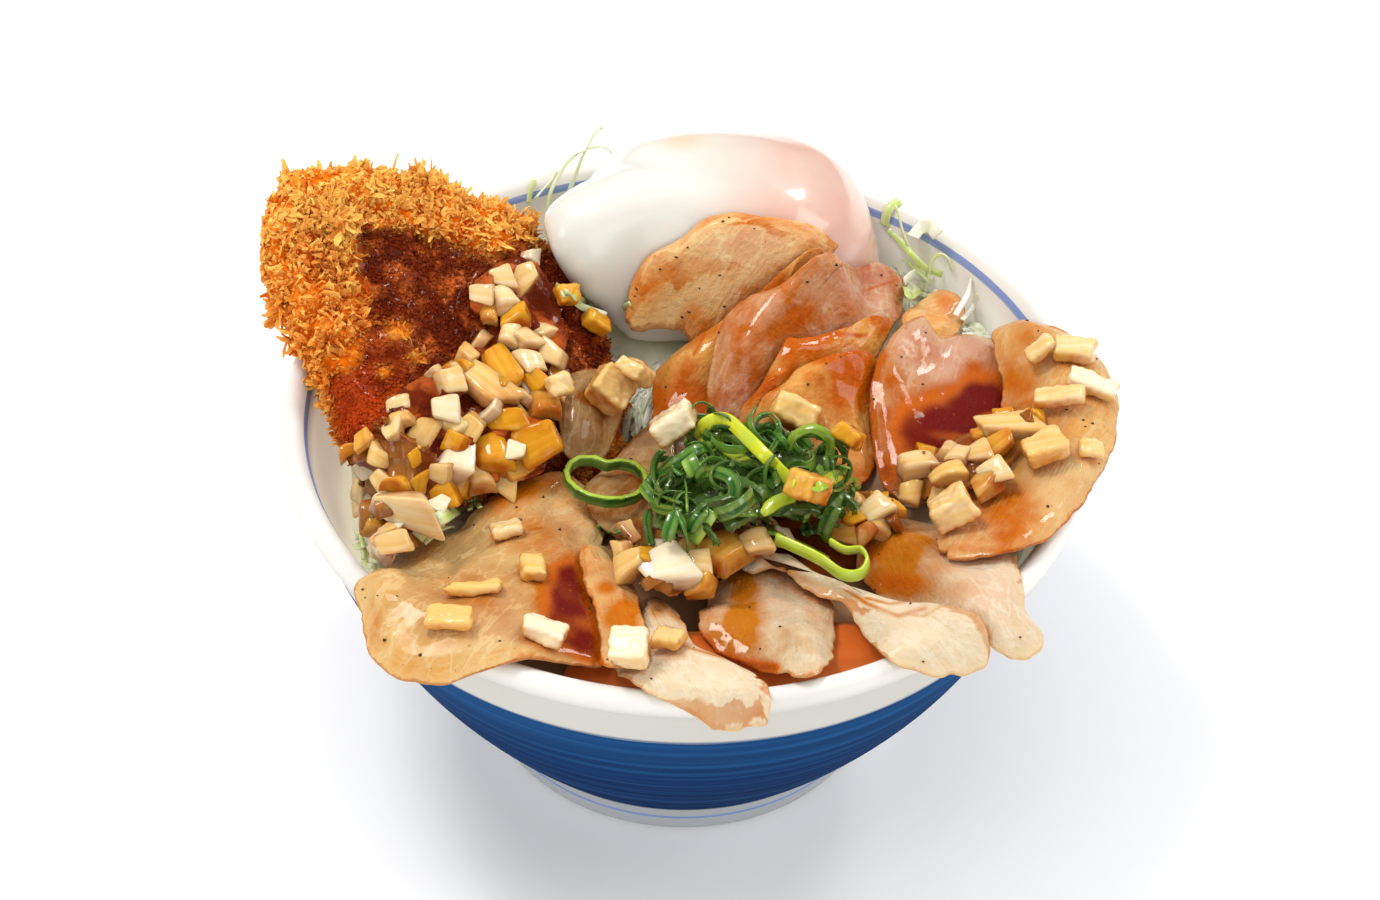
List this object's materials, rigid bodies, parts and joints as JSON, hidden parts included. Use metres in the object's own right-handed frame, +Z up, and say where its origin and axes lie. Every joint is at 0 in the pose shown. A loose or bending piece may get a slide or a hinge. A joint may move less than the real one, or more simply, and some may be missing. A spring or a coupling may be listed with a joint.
{
  "type": "pork cutlet and roast pork rice bowl",
  "caption": "Deep glazed bowl of rice topped with a breaded cutlet, soft egg, a fan of thin roast pork slices, diced onion, scallion, cabbage and sauce.",
  "frame": {"origin": "middle of the bounding box at the surface that the foot stands on; the bowl's own axis stands 0.3 mm to +X and 2.1 mm to +Y of it", "axes": "+Z up along the bowl's axis; +Y towards the back, where the egg lies; +X towards the picture's right; the cutlet is at -X"},
  "size_m": [0.1933, 0.1847, 0.1174],
  "materials": {
    "bowl_glaze": "glossy white glaze with a blue band",
    "rice": "moist cooked rice",
    "cabbage": "crisp shredded cabbage",
    "crust": "fried crumb crust, in part soaked with sauce",
    "egg": "wet soft egg white over a yolk",
    "pork": "sliced roast pork, glazed",
    "pale_pork": "pale fatty roast pork, moist",
    "pink_pork": "pink roast pork, glazed",
    "onion": "translucent diced onion",
    "scallion": "glossy green scallion",
    "young_scallion": "light green scallion",
    "sauce": "clear brown sauce"
  },
  "bodies": {
    "root": {"bowl": "bowl_glaze", "rice": "rice", "cabbage": "cabbage", "cutlet": "crust", "egg": "egg", "sauce_front": "sauce", "sauce_middle": "sauce", "pork_left": "pork", "pork_under_cutlet": "pork", "pork_middle": "pork", "pork_front_right": "pale_pork", "pork_front_round": "pale_pork", "pork_over_rim": "pale_pork", "pork_strip": "pork", "pork_folded": "pale_pork", "pork_by_egg": "pork", "pork_fan_1": "pork", "pork_fan_2": "pink_pork", "pork_fan_3": "pork", "pork_fan_4": "pork", "pork_curl": "pork", "pork_pink": "pink_pork", "pork_right": "pork", "onion_cutlet": "onion", "onion_side": "onion", "onion_middle": "onion", "onion_right": "onion", "onion_centre": "onion", "scallion_shreds": "scallion", "scallion_heart": "scallion", "scallion_curl": "young_scallion", "onion_01": "onion", "onion_02": "onion", "onion_03": "onion", "onion_04": "onion", "onion_05": "onion", "onion_06": "onion", "onion_07": "onion", "onion_08": "onion", "onion_09": "onion", "onion_10": "onion", "onion_11": "onion", "onion_12": "onion", "onion_13": "onion", "onion_14": "onion", "onion_15": "onion", "onion_16": "onion", "onion_17": "onion", "onion_18": "onion", "onion_19": "onion", "onion_20": "onion", "onion_21": "onion", "onion_22": "onion", "onion_23": "onion"}
  },
  "joints": []
}
